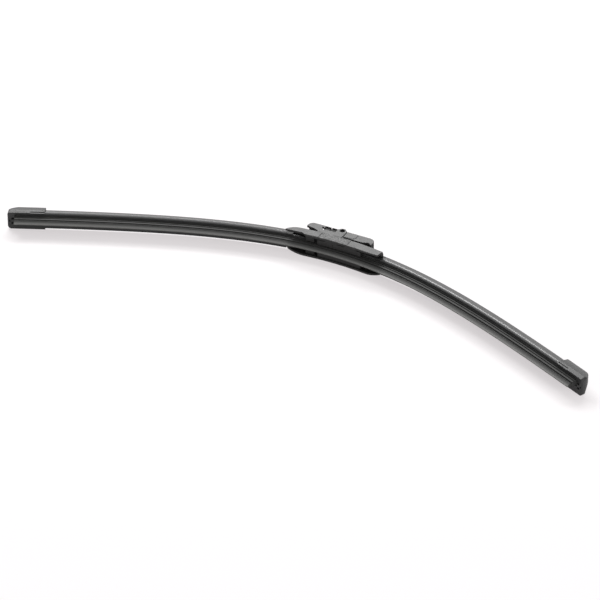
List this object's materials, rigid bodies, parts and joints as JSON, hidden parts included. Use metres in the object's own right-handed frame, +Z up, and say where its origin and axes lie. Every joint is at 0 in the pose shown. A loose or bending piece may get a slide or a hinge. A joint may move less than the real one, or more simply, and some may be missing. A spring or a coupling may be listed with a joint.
{
  "type": "wiper blade",
  "caption": "Flat windscreen wiper blade: bowed rubber lip on spring strips, clip-on spoilers, end caps, middle housing and a rocking arm adapter.",
  "frame": {"origin": "centre of the footprint, on the surface that the blade lies on", "axes": "+X along the blade's chord, +Y towards the spoiler and adapter side, +Z up from the side that it lies on"},
  "size_m": [0.5676, 0.1222, 0.022],
  "materials": {
    "rubber": "satin black graphite-coated rubber",
    "spring_steel": "black coated spring steel",
    "spoiler": "satin black extruded elastomer",
    "cap_plastic": "fine-grained black moulded plastic",
    "bridge_plastic": "black moulded plastic",
    "housing_plastic": "fine-grained black moulded plastic",
    "pin_steel": "bright steel",
    "adapter_plastic": "fine-grained dark grey moulded plastic"
  },
  "bodies": {
    "blade": {"wiping_rubber": "rubber", "lee_spring_strip": "spring_steel", "windward_spring_strip": "spring_steel", "left_spoiler": "spoiler", "right_spoiler": "spoiler", "left_end_cap": "cap_plastic", "right_end_cap": "cap_plastic", "strip_bridge": "bridge_plastic", "connector_housing": "housing_plastic", "pivot_pin": "pin_steel"},
    "adapter": {"arm_adapter": "adapter_plastic"}
  },
  "joints": [
    {"name": "adapter_rock", "type": "hinge", "parent": "blade", "child": "adapter", "pos_m": [-0.0026, 0.04745, 0.011], "axis": [0, 0, 1], "range_deg": [-10, 10]}
  ]
}
